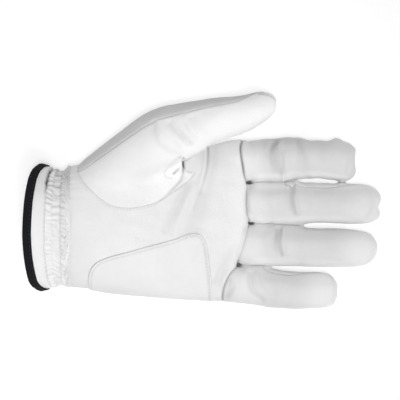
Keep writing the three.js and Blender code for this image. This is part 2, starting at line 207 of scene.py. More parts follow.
def onGrid(measure, step=0.5):
    # a measure taken once on a plan grid and read between its points
    xs, ys = np.arange(-95, 125, step), np.arange(-85, 85, step)
    grid = np.stack([a.ravel() for a in np.meshgrid(xs, ys, indexing="ij")], axis=1)
    values = measure(grid).reshape(len(xs), len(ys))

    def read(p):
        i = np.clip((p[:, 0] - xs[0]) / step, 0, len(xs) - 1.001)
        j = np.clip((p[:, 1] - ys[0]) / step, 0, len(ys) - 1.001)
        a, b = i.astype(int), j.astype(int)
        u, v = i - a, j - b
        near = values[a, b] * (1 - v) + values[a, b + 1] * v
        far = values[a + 1, b] * (1 - v) + values[a + 1, b + 1] * v
        return near * (1 - u) + far * u

    return read


def signedDistance(line):
    def measure(p):
        gap, side, _ = lineDistance(p, line)
        return gap * side
    return onGrid(measure)


def readMesh(items, what, kind=float, wide=3):
    values = np.empty(len(items) * wide, kind)
    items.foreach_get(what, values)
    return values.reshape(-1, wide) if wide > 1 else values


def glovePoints(mesh):
    return readMesh(mesh.vertices, "co") / mm - shift


def setGlovePoints(mesh, points):
    mesh.vertices.foreach_set("co", ((points + shift) * mm).ravel())
    mesh.update()


def vertexNormals(mesh):
    return readMesh(mesh.vertex_normals, "vector")


def shadePoints(mesh, name, values):
    # a tone on each point, 0 to 1, which the leather's material reads
    layer = mesh.attributes.get(name) or mesh.attributes.new(name, "FLOAT", "POINT")
    layer.data.foreach_set("value", np.clip(values, 0, 1))


def nearestOf(places):
    tree = KDTree(len(places))
    for i, place in enumerate(places):
        tree.insert(place, i)
    tree.balance()
    return tree


def ramp(x, low, high):
    # 0 below low, 1 above high, soft between them; the other way round if high is the smaller
    t = np.clip((x - low) / (high - low), 0, 1)
    return t * t * (3 - 2 * t)


def column(rows, k):
    return [r[k] for r in rows]


def across(x, rows, k):
    # column k of a table, read at x in its first column
    return np.interp(x, column(rows, 0), column(rows, k))


# One soft form: a ring that is pushed out station by station, as a glove's finger is drawn
def softForm(name, rows, sides=28, roundness=2.35):
    deselectAll()
    bpy.ops.mesh.primitive_circle_add(vertices=sides, radius=1.0, fill_type="NGON", location=(0, 0, 0))
    form = bpy.context.object
    form.name = name
    for v in form.data.vertices:
        angle = math.atan2(v.co.y, v.co.x)
        c, s = math.cos(angle), math.sin(angle)
        v.co = (
            0,
            math.copysign(abs(c) ** (2 / roundness), c),
            math.copysign(abs(s) ** (2 / roundness), s),
        )
    setMode("EDIT")
    bpy.ops.mesh.select_all(action="SELECT")
    last = None
    for x, low, high, middle, half in rows:
        place = Vector((x, (low + high) / 2, middle))
        size = (1.0, (high - low) / 2, half)
        if last is None:
            bpy.ops.transform.resize(value=size, center_override=(0, 0, 0))
            bpy.ops.transform.translate(value=place)
        else:
            bpy.ops.mesh.extrude_region_move(TRANSFORM_OT_translate={"value": place - last[0]})
            grow = (1.0, size[1] / last[1][1], size[2] / last[1][2])
            bpy.ops.transform.resize(value=grow, center_override=place)
        last = (place, size)
    bpy.ops.mesh.select_all(action="SELECT")
    bpy.ops.mesh.normals_make_consistent(inside=False)
    setMode("OBJECT")
    rounder = form.modifiers.new("rounder", "SUBSURF")
    rounder.levels = rounder.render_levels = 2
    bpy.ops.object.modifier_apply(modifier="rounder")
    return form


floorSink = 1.5          # the round back is flattened this far up
tipLift = 6.0            # a fingertip curls up off the surface


def lying(rows):
    widest = max(high - low for _, low, high, _ in rows)
    out = []
    for x, low, high, top in rows:
        under = tipLift * (1 - (high - low) / widest) ** 1.2 - floorSink
        out.append([x, low, high, (top + under) / 2, (top - under) / 2])
    return out


print("leather: forms")
slantFrom, handEnd = 5, 28.5     # the hand is square up to the first, and its rings end at the second
crotchLine = [
    [-80, 15], [-62, 18], [-50, 20.5], [-40.8, 23.8], [-33, 26.5], [-27, 28], [-14.6, 31.4], [-2, 29.5],
    [10.8, 31.2], [24, 28], [40, 26.5],
]
handForm = softForm("handForm", lying(handRows), sides=40, roundness=2.7)
for v in handForm.data.vertices:     # the hand ends in a slanting row of crotches, not square
    if v.co.x > slantFrom:
        reach = across(v.co.y, crotchLine, 1)
        v.co.x += (v.co.x - slantFrom) / (handEnd - slantFrom) * (reach - handEnd)
forms = [handForm]
forms += [softForm(name + "Form", lying(rows)) for name, rows in fingerRows.items()]
forms.append(softForm("thumbForm", thumbRows, roundness=2.25))
pick(*forms)
bpy.ops.object.join()
skin = bpy.context.object
skin.name = "skin"
skin.data.transform(Matrix.Diagonal((mm, mm, mm, 1)))
skin.data.transform(Matrix.Translation(Vector(shift * mm)))
remesh = skin.modifiers.new("remesh", "REMESH")
remesh.mode = "VOXEL"
remesh.voxel_size = skinLook["voxel"] * mm
bpy.ops.object.modifier_apply(modifier="remesh")


def relax(points, edges, weight, passes):
    # pulls each point towards the middle of its neighbours, by its weight
    a, b = edges[:, 0], edges[:, 1]
    count = np.bincount(a, minlength=len(points)) + np.bincount(b, minlength=len(points))
    for _ in range(passes):
        total = np.stack([
            np.bincount(a, points[b, k], len(points)) + np.bincount(b, points[a, k], len(points))
            for k in range(3)
        ], axis=1)
        points = points + (total / np.maximum(count, 1)[:, None] - points) * weight[:, None]
    return points


def edgeList(mesh):
    return readMesh(mesh.edges, "vertices", int, 2)


print("leather: smoothing")
points = glovePoints(skin.data)
points = relax(points, edgeList(skin.data), np.full(len(points), 0.5), skinLook["smooth"])
# the thumb's ball runs into the palm without a step
x, y, z = points.T
ball = ramp(x, -12, -24) * ramp(z, 20, 28) * ramp(y, -14, -4) * ramp(y, 50, 40)
points = relax(points, edgeList(skin.data), ball * 0.6, 60)
bed = 0.35               # the back is pressed nearly flat up to this height
points[:, 2] = np.where(points[:, 2] < bed, bed - (bed - points[:, 2]) * 0.1, points[:, 2])
points[:, 2] -= min(0, points[:, 2].min())
setGlovePoints(skin.data, points)
print("leather:", len(skin.data.vertices), "points")
pick(skin)
setMode("EDIT")
bpy.ops.mesh.select_all(action="SELECT")
bpy.ops.mesh.bisect(
    plane_co=((wristX + shiftX) * mm, 0, 0.02), plane_no=(-1, 0, 0), clear_outer=True, use_fill=False,
)
setMode("OBJECT")


# Where each panel lies: signed distances, positive inside
behindThumb = [[-9.6, 90], [-95, 90], [-95, 27]]
thenarOutline = np.vstack([smoothLine(thenarSeam), smoothLine(thenarFlap), behindThumb])
patchOutline = smoothLine(heelPatchEdge)
insideThenar = onGrid(lambda p: insideOutline(p, thenarOutline))
insidePatch = onGrid(lambda p: insideOutline(p, patchOutline))
pastBase = signedDistance(smoothLine(fingerBaseLine))
pastSide = signedDistance(smoothLine(thumbSideSeam))
fingers = ["index", "middle", "ring", "little"]
fingerLying = {name: lying(rows) for name, rows in fingerRows.items()}
between = [("index", "middle"), ("middle", "ring"), ("ring", "little")]
nothing = -9.0           # a distance that never meets a seam


def thumbTube(p):
    x, y, z = p.T
    low, high = across(x, thumbRows, 1), across(x, thumbRows, 2)
    middle, half = across(x, thumbRows, 3), across(x, thumbRows, 4)
    v = np.abs(y - (low + high) / 2) / ((high - low) / 2 + 0.8)
    w = np.abs(z - middle) / (half + 0.8)
    around = (v ** 2.25 + w ** 2.25) ** (1 / 2.25)
    return (1 - around) * np.minimum((high - low) / 2, half)


def borderY(x, k):
    upper, lower = between[k]
    return (across(x, fingerRows[upper], 1) + across(x, fingerRows[lower], 2)) / 2


def sideStrip(p, k):
    # the strip between two fingers: high on the finger below, low on the one above, closing towards the tips
    x, y, z = p.T
    upper, lower = between[k]
    w = y - borderY(x, k)
    mix = ramp(w, -1.2, 1.2)
    middle = across(x, fingerLying[lower], 3) * (1 - mix) + across(x, fingerLying[upper], 3) * mix
    half = across(x, fingerLying[lower], 4) * (1 - mix) + across(x, fingerLying[upper], 4) * mix
    end = np.where(w < 0, fingerRows[lower][-1][0], fingerRows[upper][-1][0]) - 9.0
    closing = np.clip((end - x) / 22, 0, 1) ** 0.6
    shown = [0.15 + 0.55 * ramp(x, 48, 58), 0.25, 0.15 + 0.5 * ramp(x, 34, 44)][k]
    top = (shown * (1 - mix) + 0.1 * mix) * closing
    low = -0.62 * closing
    u = (z - middle) / half
    strip = np.minimum(top - u, u - low) * half
    return np.where(np.abs(w) < 8.5, strip, nothing)


def fields(p):
    x, y, z = p.T
    thumb = np.maximum(
        np.minimum(insideThenar(p), z - thumbSideFloor),
        np.minimum(x - thumbFreeX, thumbTube(p)),
    )
    return {
        "thumb": thumb,
        "base": np.where((z > 29.5) & (y > 34), nothing, pastBase(p)),
        "side": pastSide(p),
        "strips": [sideStrip(p, k) for k in range(3)],
        "borders": [y - borderY(x, k) for k in range(3)],
        "patch": np.minimum(insidePatch(p), z - 7),
    }


def seamFields(p):
    # the same, but each only where its seam is sewn
    f = fields(p)
    thumb, base = f["thumb"], f["base"]
    out = [thumb, np.where(thumb < 0.3, base, nothing), np.where(thumb > -0.3, f["side"], nothing)]
    onFinger = (base > -0.3) & (thumb < 0)
    out += [np.where(onFinger, s, nothing) for s in f["strips"]]
    for border, strip in zip(f["borders"], f["strips"]):
        out.append(np.where(onFinger & (strip < 0.3) & (np.abs(border) < 2.5), border, nothing))
    out.append(np.where((thumb < 0) & (base < 0), f["patch"], nothing))
    return out


def subdivideAt(chosen):
    skin.data.vertices.foreach_set("select", chosen)
    setMode("EDIT")
    bpy.ops.mesh.select_mode(type="FACE")
    bpy.ops.mesh.subdivide(number_cuts=1)
    bpy.ops.mesh.select_all(action="DESELECT")
    setMode("OBJECT")


print("leather: finer along the seams")
points = glovePoints(skin.data)
near = np.min(np.abs(np.stack(seamFields(points))), axis=0) < skinLook["seamReach"]
pick(skin)
setMode("EDIT")
bpy.ops.mesh.select_mode(type="VERT")
bpy.ops.mesh.select_all(action="DESELECT")
setMode("OBJECT")
subdivideAt(near)
palmTop = 24.0           # above this lies the palm side at the thumb's root
x, y, z = glovePoints(skin.data).T
subdivideAt((np.hypot((x + 13) / 14, (y - 14) / 16) < 1) & (z > palmTop))

print("leather: cutting")
snap = 0.07              # a point this near a seam is taken as on it
farApart = 3.0           # a jump this big between two ends is no crossing
bm = bmesh.new()
bm.from_mesh(skin.data)
for k in range(len(seamFields(points[:1]))):
    bm.verts.index_update()
    f = seamFields(np.array([v.co[:] for v in bm.verts]) / mm - shift)[k]
    f[np.abs(f) < snap] = 0
    onSeam = {v for v, value in zip(bm.verts, f) if value == 0}
    crossed = []
    for e in bm.edges:
        a, b = f[e.verts[0].index], f[e.verts[1].index]
        if a * b < 0 and abs(a) < farApart and abs(b) < farApart:
            crossed.append((e, e.verts[0], a / (a - b)))
    for e, start, share in crossed:
        onSeam.add(bmesh.utils.edge_split(e, start, share)[1])
    for face in {p for v in onSeam for p in v.link_faces}:
        on = [v for v in face.verts if v in onSeam]
        if len(on) == 2 and not bm.edges.get(on):
            bmesh.utils.face_split(face, on[0], on[1])
bm.to_mesh(skin.data)
bm.free()
print("leather:", len(skin.data.vertices), "points")

panels = ["hand_shell", "thumb_front", "thumb_side"] + [name + "_finger" for name in fingers]
panels += ["fourchette_index_middle", "fourchette_middle_ring", "fourchette_ring_little"]
firstFinger, firstStrip = 3, 7     # places in the list of panels


def panelOf(p):
    f = fields(p)
    label = np.zeros(len(p), int)
    onFinger = f["base"] > 0
    which = np.zeros(len(p), int)
    for k in range(3):
        which += f["borders"][k] < 0
    label[onFinger] = firstFinger + which[onFinger]
    for k in range(3):
        label[onFinger & (f["strips"][k] > 0)] = firstStrip + k
    onThumb = f["thumb"] > 0
    label[onThumb] = np.where(f["side"] > 0, 2, 1)[onThumb]
    return label


print("leather: panels")
mesh = skin.data
centres = readMesh(mesh.polygons, "center") / mm - shift
label = panelOf(centres)
mesh.polygons.foreach_set("material_index", label.astype(np.int32))
for name in panels:
    mesh.materials.append(bpy.data.materials.new("panel " + name))
lowest, highest = np.full(len(mesh.vertices), 99), np.full(len(mesh.vertices), -1)
corners = readMesh(mesh.loops, "vertex_index", int, 1)
cornerLabel = np.repeat(label, readMesh(mesh.polygons, "loop_total", int, 1))
np.minimum.at(lowest, corners, cornerLabel)
np.maximum.at(highest, corners, cornerLabel)
points = glovePoints(mesh)
onSeam = lowest != highest
seamPoints = points[onSeam]
low, high = lowest[onSeam], highest[onSeam]
# how deep each seam lies, 1 for a full groove; low and high are the panels on its two sides
seamShows = np.full(len(seamPoints), 0.35)
for k, shows in enumerate([1.0, 0.5, 0.16, 0.75]):     # the finger bases, index to little
    seamShows[(low == 0) & (high == firstFinger + k)] = shows
atThumb = (low == 0) & (high == 1)
seamShows[atThumb] = 0.05
underThumb = atThumb & (seamPoints[:, 2] < 20)
seamShows[underThumb] = 0.05 + 0.4 * ramp(seamPoints[underThumb, 2], 20, 16)
seamShows[(low == 1) & (high == 2)] = 0.4
seamShows[high >= firstStrip] = 0.3
flapFold = atThumb & (seamPoints[:, 0] > -19) & (seamPoints[:, 2] > palmTop)
foldY = seamPoints[flapFold, 1]
seamShows[flapFold] = 0.12 + 0.5 * ramp(foldY, 18, 21) * ramp(foldY, 29, 26)
flapTop = flapFold & (seamPoints[:, 1] > 16.5) & (seamPoints[:, 1] < 19) & (seamPoints[:, 0] > -9.6)
seamShows[flapTop] = -0.05
for hole in [[30.6, 10.6], [31.2, -14.4], [23.8, -40.6]]:     # the crotches of the fingers
    reach = np.hypot(seamPoints[:, 0] - hole[0], seamPoints[:, 1] - hole[1])
    seamShows = np.maximum(seamShows, 1.3 * ramp(reach, 4.0, 1.2))
tree = nearestOf(seamPoints)
found = [tree.find(q) for q in points]
seamGap = np.array([near[2] for near in found])
shows = seamShows[np.array([near[1] for near in found])]

print("leather: folds and seams")
normals = vertexNormals(mesh)
x, y, z = points.T
height = np.zeros(len(points))
cavity = np.zeros(len(points))
height -= (0.12 + skinLook["seamDepth"] * shows) * np.exp(-(seamGap / (0.45 + 0.35 * shows)) ** 2)
height += 0.16 * shows * np.exp(-((seamGap - 2.0) / 1.0) ** 2)
# painted shade: the leather is painted darker along each seam's groove, where shade falls
cavity += (0.08 + 0.6 * shows) * np.exp(-(seamGap / (0.45 + 0.3 * shows)) ** 2)
# small holes where the fingers part, painted near black as shade
for hole, long, wide in [[(30.3, 11.0), 1.3, 0.75], [(31.6, -14.2), 1.7, 0.5], [(24.0, -40.4), 1.0, 0.75]]:
    pit = np.exp(-((x - hole[0]) / long) ** 2 - ((y - hole[1]) / wide) ** 2) * ramp(z, 8, 14)
    height -= 1.3 * pit
    cavity += 1.0 * pit
# the little wedge beside the thumb's fold lies in shade
wedge = np.array([
    [-10.5, 18.6], [-3, 16.8], [-6.8, 12.2], [-11.3, 8.7], [-18, 4.2], [-24.8, 0], [-20.1, 3.9],
    [-14, 10.1], [-11.4, 13.4],
])
cavity += 0.10 * insideOutline(points[:, :2], wedge).clip(0, 0.5) / 0.5 * (z > palmTop)

# folds and ridges of the leather: a row is its points, half width, depth (less than 0 is a ridge),
# the height of the swelling beside it, and its strength at the first and the last point
folds = [
    [
        [[-10.2, 25.6], [-10.5, 18.6], [-11.4, 13.4], [-14, 10.1], [-20.1, 3.9], [-24.8, 0]],
        0.6, 1.5, 0.5, 1, 0.15,
    ],
    [[[-9.4, 14.3], [-15, 8], [-20.5, 3.4]], 1.3, 0.7, 0, 1, 0.2],
    [[[-12, 26.4], [-17, 22.9], [-21.2, 17.4], [-20.4, 14.4], [-16.8, 13.8]], 0.5, 0.6, 0.3, 0.9, 0.7],
    [[[-13.7, 18.9], [-16, 16.6]], 0.55, 1.9, 0.4, 1, 0.9],
    [[[-12.4, 15], [-16, 11], [-20.5, 7.5]], 1.2, 0.35, 0.2, 1, 0.2],
    [[[5, 32.5], [4.8, 22.5], [3.2, 14.7], [1.6, 8.5], [0, 3]], 0.75, 1.4, 0.2, 1, 0.1],
    [[[3.1, 31.5], [2.9, 22.5], [1, 14], [-1.6, 5], [-4.6, -6]], 1.5, -1.42, 0, 1, 0.4],
    [[[8.5, 31], [8, 20], [5.8, 8], [2.6, -4], [-0.5, -16]], 3.2, 0.95, 0, 0.8, 0.5],
    [[[-8.8, 8.5], [-12.5, 1], [-17.5, -9], [-21, -19]], 2.5, 0.95, 0, 0.8, 0.45],
    [[[-4.5, 9], [-8.5, -2], [-13.5, -12], [-16, -22]], 2.2, -1.3, 0, 0.9, 0.6],
    [[[0.5, 4], [-2.5, -6], [-5, -15], [-7, -24]], 3, 1, 0, 0.9, 0.3],
    [[[-28, 50], [-20.2, 42.6], [-10.1, 34.1]], 2.6, -1.23, 0, 0.7, 0.9],
    [[[-18, 47], [-12.4, 40.3], [-6.6, 34.6]], 2, 1.23, 0, 0.7, 1],
    [[[-9.5, 50], [-5.4, 43.4], [-1.2, 38.6]], 1.8, -0.85, 0, 0.8, 0.9],
    [[[-4.5, 50], [-1, 44], [3, 41]], 2.2, 0.57, 0, 0.9, 0.6],
    [[[-28.5, 47], [-27.2, 37], [-20.2, 30.4], [-12.4, 27.9]], 2.2, 0.85, 0, 0.7, 0.6],
    [[[30.5, 37.5], [33, 31], [33.5, 24]], 1.2, 0.61, 0.3, 1, 0.1],
    [[[48.8, 38], [44.6, 31.8], [45.2, 24.8], [47.3, 16.6]], 1.7, 2.3, 0, 1, 0.6],
    [[[50.2, 37.5], [48.6, 31.8], [49.9, 26], [51.3, 19], [51.6, 13]], 1.2, -2.1, 0, 0.8, 0.8],
    [[[53, 32], [51.9, 25], [50.6, 17]], 0.9, 0.88, 0, 0.3, 1],
    [[[60.8, 36.5], [64, 30], [65.9, 23], [66.4, 15]], 2.2, 1.05, 0, 1, 0.3],
    [[[58, 35], [59.5, 28], [60, 20]], 2.6, -0.61, 0, 1, 0.5],
    [[[73.5, 37], [76.5, 31], [77.5, 24]], 1.8, 0.44, 0.15, 1, 0.2],
    [[[39, 37], [41, 29], [40, 20]], 2, 0.53, 0.15, 1, 0.2],
    [[[57.4, 7.5], [56, 1.6], [56.6, -4.6], [58.8, -9.2]], 1.4, 1.8, 0, 0.7, 0.4],
    [[[59.8, 9.5], [59.2, 0], [60.6, -8]], 1.3, -2, 0, 1, 0.7],
    [[[53.4, 9.5], [53.5, 3], [53.2, -2]], 0.9, 0.61, 0, 1, 0.3],
    [[[66, 9], [68, 0], [66, -9]], 2.6, 0.35, 0.15, 0.7, 0.5],
    [[[44, -15], [45.5, -8], [44, -1]], 2, 0.44, 0.15, 1, 0.3],
    [[[48.6, -18.5], [47.2, -24.6], [48, -29.6], [50.2, -34]], 1.6, 1.8, 0, 0.9, 0.5],
    [[[51.8, -19], [50.9, -26.2], [52.3, -33.5]], 1.3, -2.1, 0, 0.9, 0.6],
    [[[40, -19], [41.5, -27], [40, -36]], 2.4, 0.44, 0, 1, 0.3],
    [[[62, -41], [64, -34], [63, -27]], 2.4, 0.44, 0.15, 1, 0.3],
    [[[31.6, -45.5], [31.8, -52], [34.1, -57.6], [38.6, -62.5]], 1.5, 1.8, 0, 0.7, 0.7],
    [[[35.2, -45.5], [36.2, -51.2], [39.8, -56.8], [42.6, -61]], 1.2, -1.22, 0, 0.8, 0.6],
    [[[27.6, -45], [28.4, -52], [31.6, -58]], 1.2, -0.7, 0, 0.6, 0.7],
    [[[19.4, -49], [20, -54], [17, -60]], 1.6, 1.05, 0.3, 0.6, 0.9],
    [[[45.5, -49], [47, -56], [46.5, -64]], 2, 0.53, 0, 0.5, 0.9],
    [[[30.6, 7.5], [29.2, 0], [30, -8]], 1.5, 1.22, 0.52, 0.7, 0.7],
    [[[28.5, -18], [27, -29], [24.5, -38]], 2, 0.61, 0.15, 0.5, 0.8],
    [[[21.5, -29], [17.5, -36], [13.5, -43], [10.5, -51]], 2.4, 0.9, 0, 0.4, 0.9],
    [[[22.5, -36], [18, -42.5], [14.8, -49], [13.5, -56]], 1.7, -0.75, 0, 0.3, 0.9],
    [[[102.5, 8], [107, 2.5], [107.6, -3.5], [104.5, -11]], 1.6, 0.7, 0.5, 0.1, 1],
    [[[81.3, -47], [83, -52], [83.2, -60], [82.2, -65]], 0.6, 0.35, 0.2, 0.8, 0.8],
    [[[36, 65], [40.5, 64.8], [43.8, 63.6], [46.4, 61.6]], 0.6, 0.9, 0.2, 0.9, 0.6],
    [[[91.5, 33.5], [92.9, 27], [91.5, 18.5]], 0.9, 0.45, 0.5, 0.2, 1],
    [[[103.5, -22], [107, -26], [107.5, -32], [104.5, -38]], 0.7, 0.3, 0.2, 0.5, 0.7],
]
facingUp = ramp(normals[:, 2], 0.0, 0.35)
for line, width, depth, beside, first, last in folds:
    line = smoothLine(line)
    box = 4.5 * width + 1
    near = np.nonzero(
        (x > line[:, 0].min() - box) & (x < line[:, 0].max() + box)
        & (y > line[:, 1].min() - box) & (y < line[:, 1].max() + box)
    )[0]
    gap, _, along = lineDistance(points[near], line)
    strength = (first + (last - first) * along) * facingUp[near]
    fold = np.exp(-(gap / width) ** 2) * strength
    swell = np.exp(-((gap - 2.1 * width) / (1.3 * width)) ** 2) * strength
    height[near] += beside * swell - depth * fold
    if depth > 0:
        # painted shade in the deeper folds, where shade falls
        cavity[near] += (0.5 if width < 0.8 else 0.16) * fold * min(1, depth) ** 2
# small gathers where the hand meets the cuff
wristGap = x - wristX
around = np.arctan2((z - 18) / 20, (y + 16.9) / 37)
turn = np.linspace(-math.pi, math.pi, 721)
gather = np.interp(around, turn, [noise.noise((a * 7, 0, 4.1)) for a in turn])
gathers = np.sin(around * 31 + gather * 5) * np.exp(-wristGap / 4.0) * ramp(np.abs(gather), 0, 0.4)
height += 0.4 * gathers * facingUp
height -= 0.25 * np.exp(-(wristGap / 0.8) ** 2) * facingUp
# bumps and pinches of the outline and the tips: place (no height: all through), size, depth
dents = [
    [(113, -4.4, None), 2.1, 1.7], [(111.5, 2.2, None), 2.6, -0.5], [(111.5, -10.5, None), 2.6, -0.5],
    [(84.5, 38.5, None), 2.2, -0.9], [(79.5, 38.5, None), 2.6, 0.6], [(90.5, 37, None), 2.4, 0.7],
    [(96.5, 31.5, None), 1.8, -0.8], [(97.5, 25.5, None), 2.6, 0.5], [(96.5, 18, None), 2.4, -0.4],
    [(68, 38.5, None), 2.2, 0.5], [(62.5, 39.5, None), 2.4, -0.4], [(53.5, 39.5, None), 2.2, -0.4],
    [(60.5, 11.5, None), 1.8, -0.5], [(66, 11.5, None), 2, 0.5], [(79, 12, None), 2.4, -0.5],
    [(43.5, 11, None), 1.8, 0.4], [(25.8, 38.8, None), 1.8, -1], [(30.5, 38, None), 2.2, 0.5],
    [(89, 33, 19), 2.4, 0.7], [(50, 11, 13), 2.2, 0.5], [(58, 12, 12), 2, 0.4],
    [(111, -29.5, 10), 3, -0.4], [(53, -14.9, 12), 2.4, -0.3], [(86.5, -52, 9), 2.6, -0.5],
]
for place, size, deep in dents:
    if place[2] is None:
        away = np.hypot(x - place[0], y - place[1])
    else:
        away = np.linalg.norm(points - np.array(place), axis=1)
    height -= deep * np.exp(-(away / size) ** 2)
# soft unevenness of filled leather
broadUneven = np.array([noise.noise((q[0] * 0.075, q[1] * 0.12, q[2] * 0.1)) for q in points])
fineUneven = np.array([noise.noise((q[0] * 0.28, q[1] * 0.19, q[2] * 0.2 + 7)) for q in points])
height += 0.45 * broadUneven + 0.13 * fineUneven
atWrist = wristGap < 0.02
points += normals * height[:, None]
points[:, 2] = np.maximum(points[:, 2], 0.02)
points[atWrist, 0] = wristX
setGlovePoints(mesh, points)
shadePoints(mesh, "cavity", cavity)
# painted light: the tips, inner sides and bases of the fingers and the thumb's higher part are painted
# lighter where light falls on them
# rows: finger, where its lighter tip starts, how light are the tip, the side towards the thumb
# and the other side
litParts = [
    ["index", 78, 0.25, 0, 0.6], ["middle", 85, 0.7, 0.7, 0.45], ["ring", 80, 1.0, 0.2, 0.45],
    ["little", 56, 0.9, 0.2, 0],
]
pale = np.zeros(len(points))
for name, start, most, near, far in litParts:
    low, high = [across(x, fingerRows[name], k) for k in (1, 2)]
    onIt = (y > low - 1) & (y < high + 1)
    end = fingerRows[name][-1][0]
    side = near * ramp(normals[:, 1], 0.35, 0.85) + far * ramp(normals[:, 1], -0.35, -0.85)
    side *= ramp(x, 30, 38)
    tip = 0.67 * most * ramp(x, start, end - 8)
    base = 0.3 * ramp(x, 46, 32) * ramp(x, 14, 26)
    pale[onIt] = (np.maximum(tip, side) + base)[onIt]
onThumb = fields(points)["thumb"] > 0
pale[onThumb] = (0.9 * ramp(x, -42, -10) * ramp(z, 12, 24))[onThumb]
shadePoints(mesh, "pale", pale)

print("leather: heel patch")
patchLook = {"lift": 0.85, "round": 0.9, "thick": 0.8, "stitchIn": 1.9, "stitchDeep": 0.14}
onPatch = (label == 0) & (fields(centres)["patch"] > 0)
pick(skin)
bpy.ops.object.duplicate()
patch = bpy.context.object
patch.name = "heel_patch"
bm = bmesh.new()
bm.from_mesh(patch.data)
bm.faces.ensure_lookup_table()
bmesh.ops.delete(bm, geom=[bm.faces[i] for i in np.nonzero(~onPatch)[0]], context="FACES")
bm.to_mesh(patch.data)
edgeOfPatch = [v.co.copy() for v in bm.verts if v.is_boundary]
bm.free()
tree = nearestOf(edgeOfPatch)
patchPoints = glovePoints(patch.data)
gap = np.array([tree.find(v.co)[2] / mm for v in patch.data.vertices])
rolled = np.sqrt(np.clip(1 - (1 - np.clip(gap / patchLook["round"], 0, 1)) ** 2, 0, 1))
rise = patchLook["lift"] * (0.25 + 0.75 * rolled)
rise -= patchLook["stitchDeep"] * np.exp(-((gap - patchLook["stitchIn"]) / 0.5) ** 2)
setGlovePoints(patch.data, patchPoints + vertexNormals(patch.data) * rise[:, None])
# painted shade along the patch's stitch groove
shadePoints(patch.data, "cavity", 0.2 * np.exp(-((gap - patchLook["stitchIn"]) / 0.4) ** 2))

print("leather: separate panels")
pick(skin)
setMode("EDIT")
bpy.ops.mesh.separate(type="MATERIAL")
setMode("OBJECT")
pieces = {}
for o in bpy.context.selected_objects:
    if len(o.data.materials) > 1:
        name = panels[o.data.polygons[0].material_index]
    else:
        name = o.data.materials[0].name[len("panel "):]
    o.name = name
    o.data.materials.clear()
    pieces[name] = o
patch.data.materials.clear()
pieces["heel_patch"] = patch

# The cuff: gathered leather in two elastic channels, flared to its bound edge
cuffLook = {
    "around": 600,
    "along": 72,
    "thick": 0.9,
    "grooves": [[0.02, 0.2], [0.225, 0.45], [0.41, 0.2], [0.57, 0.5]],   # place along it, depth
}
cuffRound = 2.5          # the power of its rounded section, 2 for an ellipse
cuffMiddleY, cuffMiddleZ = -16.9, 18.4
# rows: share of the length, middle y, half width, palm height, how strongly gathered,
# how far the underside is lifted
cuffRows = [
    [0, -16.9, 37.2, 37, 0.3, 0], [0.05, -16.9, 36.8, 36.6, 0.5, 0], [0.12, -17.2, 36.3, 36.2, 0.6, 0],
    [0.20, -17.4, 35.6, 35.6, 0.8, 0], [0.32, -17.5, 35.2, 35.3, 0.9, 0],
    [0.43, -17.5, 35.3, 35.3, 0.9, 0], [0.50, -17.4, 35.8, 35.5, 0.8, 0.2],
    [0.565, -17.2, 36.5, 35.9, 0.55, 0.6], [0.66, -17, 37.5, 36.6, 0.28, 1.2],
    [1, -16.9, 38.6, 38, 0.1, 1.4],
]
# how far the palm side's edge lies from the wrist, by place across the cuff
cuffEdge = [
    [-1, 18.9], [-0.984, 20.9], [-0.952, 22.5], [-0.919, 23.6], [-0.887, 24.4], [-0.855, 24.9],
    [-0.759, 25.8], [-0.63, 26.7], [-0.5, 27.4], [-0.373, 27.9], [-0.245, 28.2], [-0.116, 28.4],
    [0.012, 28.3], [0.141, 28.1], [0.269, 27.8], [0.398, 27.4], [0.526, 26.8], [0.655, 26], [0.783, 25],
    [0.831, 24.4], [0.88, 23.7], [0.912, 23], [0.944, 22.1], [0.976, 20.9], [1, 19.2],
]


def rounded(c, power):
    return np.sign(c) * np.abs(c) ** (2 / power)


def cuffReach(angle):
    v = rounded(np.cos(angle), cuffRound)
    palm = across(v, cuffEdge, 1)
    back = 21.0 - 3.2 * np.abs(v) ** 3
    return back + (palm - back) * ramp(np.sin(angle), -0.12, 0.12)


def wristRing(angles):
    # where the hand's leather ends, by angle, so that the cuff starts on it
    p = np.vstack([glovePoints(o.data) for o in pieces.values()])
    p = p[p[:, 0] < wristX + 0.05]
    a = np.arctan2(p[:, 2] - cuffMiddleZ, p[:, 1] - cuffMiddleY)
    order = np.argsort(a)
    a, p = a[order], p[order]
    a = np.concatenate([a - 2 * math.pi, a, a + 2 * math.pi])
    p = np.vstack([p, p, p])
    wanted = np.arctan2(np.sin(angles), np.cos(angles))
    return np.interp(wanted, a, p[:, 1]), np.interp(wanted, a, p[:, 2])


def cuffSurface(share, angle, out=0.0):
    # a point of the cuff's outer surface before it is gathered; out moves it outwards
    middle, top, lift = [across(share, cuffRows, k) for k in (1, 3, 5)]
    width = across(share, cuffRows, 2) + out
    half = (top + floorSink) / 2
    x = wristX - share * cuffReach(angle)
    y = middle + width * rounded(np.cos(angle), cuffRound)
    z = (top - floorSink) / 2 + (half + out) * rounded(np.sin(angle), cuffRound)
    return np.stack([x, y, np.maximum(lift - np.minimum(out, lift), z)], axis=-1)


def outward(share, angle):
    way = cuffSurface(share, angle, 1.0) - cuffSurface(share, angle)
    return way / np.maximum(np.linalg.norm(way, axis=1), 1e-6)[:, None]


def ringGrid(name, along, around):
    # a flat grid to be rolled up, with the place of its points across the ring, -1 to 1, and their angle
    bpy.ops.mesh.primitive_grid_add(x_subdivisions=along, y_subdivisions=around, size=2)
    grid = bpy.context.object
    grid.name = name
    flat = readMesh(grid.data.vertices, "co")
    return grid, flat[:, 0], (flat[:, 1] + 1) * math.pi


def closeRing(ring):
    pick(ring)
    setMode("EDIT")
    bpy.ops.mesh.select_all(action="SELECT")
    bpy.ops.mesh.remove_doubles(threshold=0.00002)
    bpy.ops.mesh.normals_make_consistent(inside=False)
    setMode("OBJECT")


def lengthAlong(line):
    return np.concatenate([[0], np.cumsum(np.linalg.norm(np.diff(line, axis=0), axis=1))])


